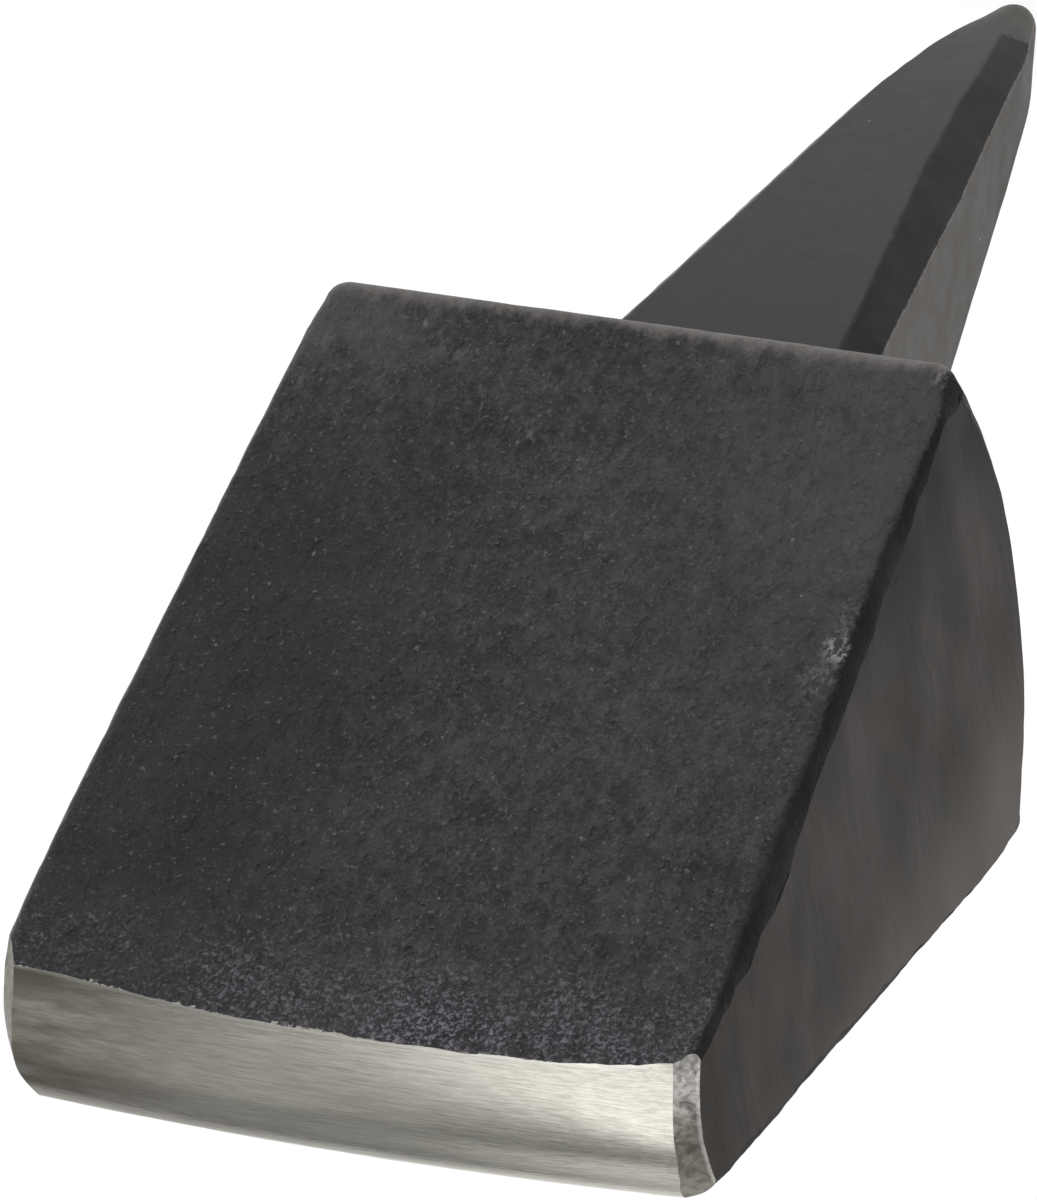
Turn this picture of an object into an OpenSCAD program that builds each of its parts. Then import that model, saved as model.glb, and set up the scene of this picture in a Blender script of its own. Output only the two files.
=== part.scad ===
// Scythe peening anvil: a drop forging with a crowned striking face, a wedge head and a tang.
// It stands as it is used, tang down. The origin is on its axis, where the tang leaves the shoulder.
// X runs along the striking face, and Y through its thickness.

/* [Striking face] */
// Length of the striking face
face_length = 45; // [30:0.5:70]
// Thickness between the cheeks at the top of the crown
face_thickness = 8.6; // [6:0.1:12]
// Radius of the crown across the face
crown_radius_across = 9.7; // [9:0.1:40]
// Radius of the crown along the face
crown_radius_along = 170; // [100:1:600]
// Width of the bevel at each end of the face
bevel_width = 1.35; // [0.5:0.05:2.5]
// Depth of the bevel at each end of the face
bevel_depth = 1.45; // [0.5:0.05:2]
// Depth of the hardened zone below the top of the crown
hard_depth = 6; // [5:0.5:12]

/* [Wedge head] */
// Height from the shoulder's edge to the top of the crown
head_height = 54.5; // [40:0.5:90]
// Slope of each cheek from the vertical, in degrees
cheek_angle = 13.8; // [8:0.1:18]
// Length of the head at the shoulder's edge
shoulder_length = 41; // [28:0.5:60]
// How far the arched shoulder drops below its edge
shoulder_drop = 4.3; // [2:0.1:8]
// Radius of the edge between cheek and shoulder
shoulder_edge_radius = 1; // [0.3:0.1:2.5]

/* [Tang] */
// Length from the shoulder to the point
tang_length = 54.5; // [45:0.5:100]
// Size along the face at the shoulder
tang_root_length = 20.2; // [16:0.1:26]
// Size through the thickness at the shoulder
tang_root_thickness = 18.6; // [15:0.1:22]
// Size along the face where the point begins
tang_end_length = 9.5; // [7:0.1:13]
// Size through the thickness where the point begins
tang_end_thickness = 9.2; // [7:0.1:13]
// Length of the straight taper, from the shoulder to the start of the point
taper_length = 38.5; // [25:0.5:42]
// Size of the blunt end of the point
tip_size = 2.4; // [1.5:0.1:4]
// Width of the corner chamfer at the shoulder, measured on each side
chamfer_root = 2.1; // [0.5:0.1:4]
// Width of the corner chamfer where the point begins
chamfer_end = 1.4; // [0.5:0.1:2.5]
// Width of the corner chamfer at the blunt end
chamfer_tip = 0.9; // [0.3:0.1:1]

/* [Hidden] */

$fn = 360;
margin = 5;
face_finish = [0.76, 0.75, 0.71];
head_finish = [0.17, 0.16, 0.17];
tang_finish = [0.22, 0.21, 0.21];

crown_z = shoulder_drop + head_height;
hard_z = crown_z - hard_depth;
crown_axis_z = crown_z - crown_radius_across;
half_length = face_length / 2;
bevel_start = half_length - bevel_width;

// Half the thickness of the wedge at height z
function cheek_y(z) = face_thickness / 2 + (crown_z - z) * tan(cheek_angle);
// Half the length of the head at height z
function flank_x(z) = half_length - (crown_z - z) * (face_length - shoulder_length) / 2 / head_height;
// How far the crown has fallen at distance x from the middle of the face
function crown_fall(x) = crown_radius_along - sqrt(pow(crown_radius_along, 2) - x * x);

shoulder_y = cheek_y(shoulder_drop);
shoulder_radius = (pow(shoulder_y, 2) + pow(shoulder_drop, 2)) / 2 / shoulder_drop;
shoulder_centre = [0, shoulder_radius];

// The rounded edge between cheek and shoulder: its arc touches the cheek's line and the shoulder's arc
cheek_along = [-sin(cheek_angle), cos(cheek_angle)];
cheek_out = [cos(cheek_angle), sin(cheek_angle)];
edge_line = [shoulder_y, shoulder_drop] - shoulder_edge_radius * cheek_out;
edge_b = cheek_along * (edge_line - shoulder_centre);
edge_c = pow(norm(edge_line - shoulder_centre), 2) - pow(shoulder_radius - shoulder_edge_radius, 2);
edge_centre = edge_line + (-edge_b - sqrt(edge_b * edge_b - edge_c)) * cheek_along;
edge_on_cheek = edge_centre + shoulder_edge_radius * cheek_out;
edge_out = (edge_centre - shoulder_centre) / norm(edge_centre - shoulder_centre);
edge_on_shoulder = edge_centre + shoulder_edge_radius * edge_out;
// A point well outside the sharp corner that the arc replaces
edge_corner = edge_centre + 3 * shoulder_edge_radius * (cheek_out + edge_out);

// The ball at the blunt end is a little wider than the end, so that it meets the spike's sides
tip_radius = 0.75 * tip_size;

// End view of the wedge: sloping cheeks, an arched shoulder and rounded edges between them
module end_outline() {
    difference() {
        polygon([
            [-cheek_y(crown_z), crown_z], [cheek_y(crown_z), crown_z],
            [cheek_y(-margin), -margin], [-cheek_y(-margin), -margin]
        ]);
        difference() {
            translate([-2 * shoulder_y, -2 * margin])
                square([4 * shoulder_y, shoulder_drop + 2 * margin]);
            translate(shoulder_centre) circle(r = shoulder_radius);
        }
        for (side = [0, 1])
            mirror([side, 0]) difference() {
                polygon([edge_on_cheek, edge_on_shoulder, edge_corner]);
                translate(edge_centre) circle(r = shoulder_edge_radius);
            }
    }
}

// Side view of the head: the flanks draw in a little towards the shoulder
module side_outline() {
    polygon([
        [-flank_x(crown_z), crown_z], [flank_x(crown_z), crown_z],
        [flank_x(0), 0], [-flank_x(0), 0]
    ]);
}

// Half section of the crown, radius by length, with its bevelled ends
module crown_section() {
    strip_r = crown_radius_across - crown_fall(bevel_start);
    end_r = strip_r - bevel_depth;
    intersection() {
        translate([crown_radius_across - crown_radius_along, 0]) circle(r = crown_radius_along);
        polygon([
            [0, -half_length], [end_r, -half_length],
            [strip_r, -bevel_start], [crown_radius_across, -bevel_start],
            [crown_radius_across, bevel_start], [strip_r, bevel_start],
            [end_r, half_length], [0, half_length]
        ]);
    }
}

// The whole head in one shape, from which the striking face and the wedge are cut
module head_shape() {
    intersection() {
        rotate([90, 0, 90]) linear_extrude(face_length, center = true) end_outline();
        rotate([90, 0, 0]) linear_extrude(2 * cheek_y(0), center = true) side_outline();
        union() {
            translate([0, 0, crown_axis_z]) rotate([0, 90, 0]) rotate_extrude() crown_section();
            translate([-half_length, -cheek_y(0), 0]) cube([face_length, 2 * cheek_y(0), crown_axis_z]);
        }
    }
}

// A slice of space between two heights, wider than the head
module slice(low, high) {
    translate([0, 0, (low + high) / 2])
        cube([face_length + 2 * margin, 2 * cheek_y(0) + 2 * margin, high - low], center = true);
}

// Outline of the tang from one side: a straight taper, then arcs that run tangent to it down to the tip
module spike_outline(root, end, tip, top) {
    taper = atan2(root - end, taper_length);
    inward = [-cos(taper), sin(taper)];
    bend = [tip - end, taper_length - tang_length];
    arc_radius = pow(norm(bend), 2) / 2 / (bend * inward);
    arc_centre = [end, -taper_length] + arc_radius * inward;
    top_half = root + (root - end) * top / taper_length;
    end_half = root - (root - end) * (tang_length + margin) / taper_length;
    difference() {
        polygon([
            [-top_half, top], [top_half, top],
            [end_half, -tang_length - margin], [-end_half, -tang_length - margin]
        ]);
        translate([-root, -tang_length - 2 * margin]) square([2 * root, 2 * margin]);
        difference() {
            translate([-root, -tang_length - 2 * margin])
                square([2 * root, tang_length + 2 * margin - taper_length]);
            intersection() {
                translate(arc_centre) circle(r = arc_radius);
                mirror([1, 0]) translate(arc_centre) circle(r = arc_radius);
            }
        }
    }
}

// One pair of the spike's faces, as a bar through it with the outline of that side
module spike_bar(turn, root, end, tip, top) {
    rotate([0, 0, turn]) rotate([90, 0, 0])
        linear_extrude(2 * tang_root_length, center = true) spike_outline(root, end, tip, top);
}

// Half the size across two chamfered corners
function across_corners(length, thickness, chamfer) = ((length + thickness) / 2 - chamfer) / sqrt(2);

// The spike, up to the height top
module spike_shape(top) {
    corner_root = across_corners(tang_root_length, tang_root_thickness, chamfer_root);
    corner_end = across_corners(tang_end_length, tang_end_thickness, chamfer_end);
    corner_tip = across_corners(tip_size, tip_size, chamfer_tip);
    intersection() {
        spike_bar(0, tang_root_length / 2, tang_end_length / 2, tip_size / 2, top);
        spike_bar(90, tang_root_thickness / 2, tang_end_thickness / 2, tip_size / 2, top);
        spike_bar(45, corner_root, corner_end, corner_tip, top);
        spike_bar(-45, corner_root, corner_end, corner_tip, top);
    }
}

// Hardened working face, crowned both ways, with a bevel at each end
module striking_face() {
    color(face_finish) intersection() {
        head_shape();
        slice(hard_z, crown_z + margin);
    }
}

// Forged wedge, with the root of the tang drawn down to a flat section at the origin
module wedge_head() {
    color(head_finish) {
        intersection() {
            head_shape();
            slice(-margin, hard_z);
        }
        intersection() {
            spike_shape(shoulder_drop);
            slice(0, shoulder_drop);
        }
    }
}

// Tapered tang that is driven into the block, with chamfered corners and a rounded point
module tang() {
    color(tang_finish) intersection() {
        spike_shape(0);
        union() {
            translate([0, 0, -tang_length + tip_radius]) sphere(r = tip_radius);
            slice(-tang_length + tip_radius, 0);
        }
    }
}

striking_face();
wedge_head();
tang();
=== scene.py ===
import math

import bpy
from mathutils import Matrix, Vector, noise


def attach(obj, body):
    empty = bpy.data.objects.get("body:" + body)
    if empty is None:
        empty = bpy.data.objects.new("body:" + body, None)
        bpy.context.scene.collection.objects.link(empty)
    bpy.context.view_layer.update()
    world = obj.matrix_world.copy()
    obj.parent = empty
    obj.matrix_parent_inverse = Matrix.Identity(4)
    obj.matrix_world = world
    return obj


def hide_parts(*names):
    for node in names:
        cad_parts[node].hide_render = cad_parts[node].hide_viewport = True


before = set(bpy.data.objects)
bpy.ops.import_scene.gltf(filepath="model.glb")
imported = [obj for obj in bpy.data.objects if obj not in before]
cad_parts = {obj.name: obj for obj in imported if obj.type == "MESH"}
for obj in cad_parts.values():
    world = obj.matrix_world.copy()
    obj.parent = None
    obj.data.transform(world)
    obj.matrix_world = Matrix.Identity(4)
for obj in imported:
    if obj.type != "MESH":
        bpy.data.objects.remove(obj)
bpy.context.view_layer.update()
mm = 0.001


# Small tools

def srgb(hexColour):
    # sRGB hex to the linear colour that a shader wants
    parts = [int(hexColour[i:i + 2], 16) / 255 for i in (1, 3, 5)]
    return [c / 12.92 if c <= 0.04045 else ((c + 0.055) / 1.055) ** 2.4 for c in parts] + [1.0]


def addNode(tree, kind, settings=None, links=None):
    # settings: a property, or an input by name or number; links: an input from a node or one of its outputs
    node = tree.nodes.new(kind)
    for key, value in (settings or {}).items():
        if isinstance(key, int) or key in node.inputs:
            node.inputs[key].default_value = value
        else:
            setattr(node, key, value)
    for key, source in (links or {}).items():
        if isinstance(source, bpy.types.Node):
            source = [out for out in source.outputs if out.enabled][0]
        if source:
            tree.links.new(source, node.inputs[key])
    return node


def newMaterial(name):
    material = bpy.data.materials.new(name)
    material.use_nodes = True
    material.node_tree.nodes.clear()
    return material, material.node_tree


def selectOnly(obj):
    bpy.ops.object.select_all(action="DESELECT")
    obj.select_set(True)
    bpy.context.view_layer.objects.active = obj


def cutAlong(obj, axis, shortest, cuts):
    # cuts every long edge that runs along one axis, so that the faces between become a grid
    bpy.ops.mesh.select_mode(type="EDGE")
    bpy.ops.mesh.select_all(action="DESELECT")
    bpy.ops.object.mode_set(mode="OBJECT")
    mesh = obj.data
    for edge in mesh.edges:
        a, b = (mesh.vertices[i].co for i in edge.vertices)
        edge.select = abs((b - a)[axis]) > shortest
    bpy.ops.object.mode_set(mode="EDIT")
    bpy.ops.mesh.subdivide(number_cuts=cuts)


def bisectAt(axis, place):
    normal = [0, 0, 0]
    normal[axis] = 1
    point = [0, 0, 0]
    point[axis] = place
    bpy.ops.mesh.select_all(action="SELECT")
    bpy.ops.mesh.bisect(plane_co=point, plane_no=normal)


def gridBlock(name, rows, cuts):
    # a block of side 2, cut at the given rows and then into an even grid between them
    bpy.ops.object.select_all(action="DESELECT")
    bpy.ops.mesh.primitive_cube_add(size=2, location=(0, 0, 0))
    obj = bpy.context.object
    obj.name = name
    bpy.ops.object.mode_set(mode="EDIT")
    for axis, places in enumerate(rows):
        for place in places:
            bisectAt(axis, place)
    for axis, number in enumerate(cuts):
        cutAlong(obj, axis, 1.0, number)
    bpy.ops.object.mode_set(mode="OBJECT")
    return obj


def mirrored(shares):
    # rows at the same shares in from both ends of the block
    return [side * (1 - share) for side in (-1, 1) for share in shares]


def shapeBlock(obj, rule, marks):
    # rule gives the place of each point of the block and its marks, which are kept as attributes
    mesh = obj.data
    values = {name: [] for name in marks}
    for vert in mesh.vertices:
        vert.co, found = rule(vert.co)
        for name in marks:
            values[name].append(found[name])
    for name in marks:
        layer = mesh.attributes.new(name=name, type="FLOAT", domain="POINT")
        layer.data.foreach_set("value", values[name])
    mesh.update()


def smooth(obj, degrees, crispFinish):
    # smooth, but crisp at sharp turns and, if wanted, where the finish changes
    selectOnly(obj)
    bpy.ops.object.shade_smooth_by_angle(angle=math.radians(degrees))
    if not crispFinish:
        return
    mesh = obj.data
    finish = {}
    for face in mesh.polygons:
        for key in face.edge_keys:
            finish.setdefault(key, set()).add(face.material_index)
    for edge in mesh.edges:
        if len(finish.get(edge.key, ())) > 1:
            edge.use_edge_sharp = True


def fromTable(table, place):
    # values by place, with a soft step from one to the next
    if place <= table[0][0]:
        return table[0][1]
    for (a, low), (b, high) in zip(table, table[1:]):
        if place <= b:
            share = (place - a) / (b - a)
            return low + (high - low) * share * share * (3 - 2 * share)
    return table[-1][1]


def fractal(p, size, seed, octaves=4, falloff=0.9):
    q = Vector((p.x / size + seed, p.y / size + seed * 1.7, p.z / size + seed * 0.3))
    return noise.fractal(q, falloff, 2.1, octaves)


# The head: forged first, then its two ends and its crown are ground

head = {
    "faceLength": 45 * mm,
    "faceThickness": 8.6 * mm,
    "crownAcross": 9.1 * mm,
    "crownAlong": 240 * mm,
    "cheekAngle": 13.8,
    "shoulderLength": 41 * mm,
    "shoulderDrop": 3.85 * mm,
    "headHeight": 54.95 * mm,
    "rimRadius": {-1: 1.3 * mm, 1: 1.6 * mm},        # edge between cheek and shoulder, front and rear
    "grind": {1: 0.3 * mm, -1: 0.08 * mm},           # what the grinding took off each end
    # the crown is ground by hand, so its front edge lies a little off a true crown, by x
    "crownFall": [
        (-21, 0.2), (-18.2, -0.05), (-15.5, -0.14), (-12, -0.14), (6, -0.14), (15, 0.1), (18.5, 0.16), (21, 0.08),
    ],
    "ends": {
        1: {
            "flankOut": [        # how much fuller the end is than a plain wedge, by height
                (5, -0.1), (9, 0.02), (18, 0.07), (27, 0.04), (43, 0.04), (49, -0.02), (52, -0.1), (55, -0.27),
            ],
            "bevelFrom": [(-4.9, 20.8), (-3.6, 20.75), (-1.4, 20.9), (0.5, 21.12), (1.8, 21.15), (4.9, 20.65)],
            "bevelDrop": [(-5, 2.3), (-3.6, 1.9), (-1, 1.6), (2.4, 1.5), (5, 1.3)],
        },
        -1: {
            "flankOut": [(0, 0.25), (11, 0.35), (19, 0.32), (30, 0.5), (45, 0.53), (53, 0.35), (56, 0.12)],
            "bevelFrom": [(-5, 21.2), (-4, 21.32), (-2, 21.38), (0.9, 21.36), (2.4, 21.2), (4.4, 20.8)],
            "bevelDrop": [
                (-5, 1.15), (-4.5, 1.17), (-4.1, 1.2), (-3.4, 1.24), (-2.2, 1.37), (0, 1.49), (1.8, 1.59), (4.5, 1.45),
            ],
        },
    },
    "edges": {                   # radius of the forged edge between cheek and flank, by height
        (-1, -1): [
            (0, 0.54), (0.3, 0.58), (0.8, 0.87), (1.3, 1.07), (2.3, 1.46), (3.6, 1.85), (5.5, 1.5), (8.5, 0.75),
            (12.7, 1.1), (16.7, 1.4), (20.6, 1.28), (24, 1.6), (28, 1.42), (32, 1.25), (35.4, 1.33), (38.6, 1.64),
            (42, 1.83), (46, 1.49), (50, 1.05), (53, 0.85), (57, 0.65),
        ],
        (-1, 1): [
            (0, 0.64), (0.6, 0.6), (1.1, 0.72), (1.7, 1.05), (2.4, 1.5), (3.5, 1.75), (6, 1.15), (9, 0.8), (13, 0.7), (19, 0.9),
            (25.5, 1.19), (31.5, 1.48), (37.7, 1.61), (44, 1.78), (50, 1.64), (56, 1.45),
        ],
        (1, -1): [(4, 1.5), (8, 1.15), (50, 1.1), (55, 1.2)],
        (1, 1): [(0, 1.2)],
    },
    # how much further that edge reaches on to the flank than along the cheek
    "edgeStretch": {(-1, -1): 1.5, (-1, 1): 1.2, (1, -1): 1.0, (1, 1): 1.0},
    "innerRadius": 0.9 * mm,     # the same edge away from the outline, which only spaces the rows
    "paintedEdgeShade": {(-1, -1): 1, (-1, 1): 1, (1, 1): 1, (1, -1): 0},      # where that edge gets painted shade
    "waveSize": 11 * mm,         # slow unevenness of a forged surface
    "waveDepth": 0.04 * mm,
    "markSize": 2.2 * mm,        # dents of the forging scale
    "markDepth": 0.06 * mm,
    "creaseSize": 3.4 * mm,      # lines where scale was pressed in
    "creaseWidth": 0.09,
    "creaseDepth": 0.05 * mm,
    "arcRows": 8,
    "rimRows": 8,
    "lengthCuts": 120,
    "thicknessCuts": 36,
    "heightCuts": 148,
}

crownTop = head["shoulderDrop"] + head["headHeight"]
cheekSlope = math.radians(head["cheekAngle"])
cheekTan = math.tan(cheekSlope)
flankTan = (head["faceLength"] - head["shoulderLength"]) / 2 / head["headHeight"]
halfLength = head["faceLength"] / 2
faceHalf = head["faceThickness"] / 2
shoulderHalf = faceHalf + head["headHeight"] * cheekTan
shoulderRadius = (shoulderHalf ** 2 + head["shoulderDrop"] ** 2) / 2 / head["shoulderDrop"]
shoulderSlope = math.asin(shoulderHalf / shoulderRadius)
arcShare = 2.0 * mm              # share of the block given to the forged edge
bevelShare = 2.7 * mm            # where the block has the row that starts the bevel
leastFlat = 0.35 * mm            # between the start of the bevel and the forged edge
fadeDepth = 4.5 * mm               # how far in from its outline an end or the crown follows the edges


def cheekAt(z):
    return faceHalf + (crownTop - z) * cheekTan


def flankAt(z, sideX):
    out = fromTable(head["ends"][sideX]["flankOut"], z / mm) * mm
    return halfLength - (crownTop - z) * flankTan + out


def crownAt(x, y):
    # height of the ground crown, with the bevel at each end
    sideX = 1 if x > 0 else -1
    end = head["ends"][sideX]
    start = fromTable(end["bevelFrom"], y / mm) * mm
    along = head["crownAlong"] - math.sqrt(head["crownAlong"] ** 2 - min(abs(x), start) ** 2)
    across = head["crownAcross"] - math.sqrt(head["crownAcross"] ** 2 - y * y)
    fall = fromTable(head["crownFall"], x / mm) * mm * max(0, -y / faceHalf)
    past = max(abs(x) - start, 0) / (flankAt(crownTop - 2.5 * mm, sideX) - start)
    return crownTop - along - across - fall - past * fromTable(end["bevelDrop"], y / mm) * mm


def shoulderAt(y):
    return shoulderRadius - math.sqrt(shoulderRadius ** 2 - min(abs(y), shoulderHalf) ** 2)


def forged(p):
    # how far a forged surface stands out, or in, at a point
    waves = head["waveDepth"] * fractal(p, head["waveSize"], 11.7, 2)
    marks = head["markDepth"] * fractal(p, head["markSize"], 3.1, 3, 0.7)
    line = abs(fractal(p, head["creaseSize"], 5.9, 3)) / head["creaseWidth"]
    where = fractal(p, head["creaseSize"] * 2, 8.3, 2)
    crease = max(0, 1 - line) * max(0, min(1, where * 3 + 0.2))
    return waves + marks - crease * head["creaseDepth"]


def aroundEdge(u, v, y, z, sides, proud=0):
    # from the block to a place along the head, how far that is inwards, and how far the forged edge has turned
    radius = fromTable(head["edges"][sides], z / mm) * mm
    radius = fromTable([(0.6, head["innerRadius"]), (1, radius)], v)
    grind = head["grind"][sides[0]]
    flat = flankAt(z, sides[0]) + grind - radius
    start = fromTable(head["ends"][sides[0]]["bevelFrom"], sides[1] * y / mm) * mm
    start = min(start, flat - leastFlat)
    fromEnd = (1 - u) * halfLength
    turned = max(0, 1 - fromEnd / arcShare)
    if fromEnd > bevelShare:
        x = start * (1 - (fromEnd - bevelShare) / (halfLength - bevelShare))
    else:
        x = start + (flat - start) * min(1, (bevelShare - fromEnd) / (bevelShare - arcShare))
    angle = turned * math.asin(min(1, (radius - grind) / (radius + proud)))
    reach = (radius + proud) * math.cos(angle) - radius
    return x + (radius + proud) * math.sin(angle), reach * head["edgeStretch"][sides], turned


def crownEdge(u, sides):
    # height at which the ground crown meets the cheek
    key = (round(u, 6),) + sides
    if key not in edgeHeights:
        z = crownTop - 1.5 * mm
        for repeat in range(6):
            x, reach, turned = aroundEdge(u, 1, cheekAt(z), z, sides)
            z = crownAt(sides[0] * x, sides[1] * (cheekAt(z) + reach))
        edgeHeights[key] = z
    return edgeHeights[key]


def rimCorner(gap, radius, localSlope, fromShoulder):
    # on the rounded edge between cheek and shoulder: the shift from the sharp outline, and the way outwards
    halfTurn = (math.pi / 2 - shoulderSlope + cheekSlope) / 2
    share = max(0, 1 - gap / (radius * math.tan(halfTurn)))
    middle = cheekSlope - halfTurn
    first = localSlope - math.pi / 2 if fromShoulder else cheekSlope
    turn = first + (middle - first) * share
    way = Vector((math.cos(turn), math.sin(turn)))
    if not share:
        return Vector((0, 0)), way, share
    cheekWay = Vector((math.cos(cheekSlope), math.sin(cheekSlope)))
    shoulderWay = Vector((math.sin(shoulderSlope), -math.cos(shoulderSlope)))
    centre = (cheekWay + shoulderWay) * (-radius / (1 + cheekWay.dot(shoulderWay)))
    if fromShoulder:
        sharp = Vector((-math.cos(shoulderSlope), -math.sin(shoulderSlope))) * gap
    else:
        sharp = Vector((-math.sin(cheekSlope), math.cos(cheekSlope))) * gap
    return centre + way * radius - sharp, way, share


def headPoint(co):
    # from the block to the forged and ground head
    u, v, t = abs(co.x), abs(co.y), (co.z + 1) / 2
    sides = (1 if co.x > 0 else -1, 1 if co.y > 0 else -1)
    rim = head["rimRadius"][sides[1]]
    localSlope = math.asin(v * shoulderHalf / shoulderRadius)
    bottom = shoulderAt(v * shoulderHalf)
    edge = crownEdge(u, sides)
    z = bottom + t * (edge - bottom)
    y = v * cheekAt(max(z, head["shoulderDrop"]))
    gapCheek = t * (edge - bottom) / math.cos(cheekSlope)
    gapShoulder = (1 - v) * shoulderHalf / math.cos(shoulderSlope)
    nearCheek = max(0, 1 - (1 - v) * shoulderHalf / fadeDepth)
    nearShoulder = max(0, 1 - gapCheek / fadeDepth)
    cheekShift, cheekWay, cheekTurn = rimCorner(gapCheek, rim, localSlope, False)
    shoulderShift, shoulderWay, shoulderTurn = rimCorner(gapShoulder, rim, localSlope, True)
    cornerShift, cornerWay, cornerTurn = rimCorner(0, rim, localSlope, True)
    both = nearCheek * nearShoulder
    shift = cheekShift * nearCheek + shoulderShift * nearShoulder - cornerShift * both
    way = cheekWay * nearCheek + shoulderWay * nearShoulder - cornerWay * both
    blockY = y
    y, z = y + shift.x, z + shift.y
    proud = 0
    if nearCheek or nearShoulder:
        proud = forged(Vector((co.x * halfLength, sides[1] * y, z))) * min(1, gapCheek / mm + 0.3)
    x, reach, turned = aroundEdge(u, v if t > 0.9999 else 1, blockY, z, sides, proud)
    y, z = y + way.x * reach, z + way.y * reach
    x = flankAt(z, sides[0]) if u > 0.9999 else min(x, flankAt(z, sides[0]))
    if t > 0.9999:
        z = crownAt(x * sides[0], y * sides[1])
    # the attribute 'worn' marks the rounded rims and one front edge, where the lacquer gets a painted highlight
    worn = max(cheekTurn * nearCheek, shoulderTurn * nearShoulder)
    if sides == (1, -1):
        worn = max(worn, turned)
    return Vector((x * sides[0], y * sides[1], z)), {
        "paintedEdgeShade": turned * head["paintedEdgeShade"][sides], "worn": worn, "fromFace": (edge - z) / mm,
    }


print("head: forging and grinding")
edgeHeights = {}
bevelRow = 1 - bevelShare / halfLength
arcRows = [arcShare / halfLength * (i + 1) / head["arcRows"] for i in range(head["arcRows"])]
rimReach = head["rimRadius"][1] * 0.8
rimY = [rimReach / shoulderHalf * (i + 1) / head["rimRows"] for i in range(head["rimRows"])]
rimZ = [rimReach / head["headHeight"] * (i + 1) / head["rimRows"] for i in range(head["rimRows"])]
headObj = gridBlock(
    "forgedHead",
    [mirrored(arcRows) + [-bevelRow, bevelRow], mirrored(rimY), [2 * share - 1 for share in rimZ]],
    [head["lengthCuts"], head["thicknessCuts"], head["heightCuts"]],
)
forgedSlot, crownSlot, flankSlot, bevelSlot = range(4)
for face in headObj.data.polygons:
    if face.normal.z > 0.9:
        face.material_index = bevelSlot if abs(face.center.x) > bevelRow else crownSlot
    else:
        face.material_index = flankSlot if abs(face.normal.x) > 0.9 else forgedSlot
shapeBlock(headObj, headPoint, ["paintedEdgeShade", "worn", "fromFace"])
print("head: faces", len(headObj.data.polygons))


# The tang: drawn out square, its corners chamfered, its point rounded and worn

tang = {
    "length": 54.3 * mm,
    "taperLength": 38.5 * mm,
    "rootX": 10.1 * mm,
    "rootY": 9.3 * mm,
    "endX": 4.75 * mm,
    "endY": 4.6 * mm,
    "tip": 0.9 * mm,
    "tipRadius": 1.5 * mm,
    "roundFrom": 47 * mm,        # from here the square rounds in towards the point
    "lean": [(37, 0), (50, -0.4)],       # the point bent a little aside, by depth
    "fuller": [(33, 0), (38, -0.04), (43, -0.08), (47, -0.03), (51, 0.05), (54, 0.05)],    # by depth, mm
    "chamfers": {                # by depth, for each corner
        (-1, -1): [(0, 1.7), (12, 1.75), (22, 1.9), (30, 2.05), (37, 1.85), (43.5, 1.55), (48, 1.5), (51, 1.2), (54.5, 0.6)],
        (1, -1): [(0, 2.1), (12, 2.0), (22, 1.9), (30, 1.8), (40, 1.6), (46, 1.3), (50, 1.05), (54.5, 0.6)],
        (-1, 1): [(0, 1.75), (30, 1.65), (42, 1.5), (50, 1.1), (54.5, 0.6)],
        (1, 1): [(0, 2.0), (30, 1.9), (42, 1.6), (50, 1.1), (54.5, 0.6)],
    },
    "paintedShadeChamfer": (-1, -1),       # the corner whose chamfer is painted dark, as shade
    "chamferUneven": 0.025,
    "unevenSize": 2.6 * mm,
    "buried": 2.2 * mm,          # how far it runs up inside the head
    "fillet": 1.3 * mm,          # blend into the shoulder
    "waveSize": 9 * mm,
    "waveDepth": 0.02 * mm,
    "cuts": 150,
    "acrossCuts": 14,
}
chamferShare = 0.25              # share of the block given to the chamfers


def spikeHalf(depth, root, end):
    # half the size at a depth below the shoulder: a straight taper, then an arc tangent to it
    if depth < tang["taperLength"]:
        return root + (end - root) * depth / tang["taperLength"]
    taper = math.atan2(root - end, tang["taperLength"])
    inward = (-math.cos(taper), -math.sin(taper))
    bend = (tang["tip"] - end, tang["length"] - tang["taperLength"])
    radius = (bend[0] ** 2 + bend[1] ** 2) / 2 / (bend[0] * inward[0] + bend[1] * inward[1])
    centre = (end + radius * inward[0], tang["taperLength"] + radius * inward[1])
    return centre[0] + math.sqrt(max(radius ** 2 - (depth - centre[1]) ** 2, 0))


def tangDepth(w):
    return -tang["buried"] + (1 - w) / 2 * (tang["length"] + tang["buried"] - 0.03 * mm)


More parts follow.
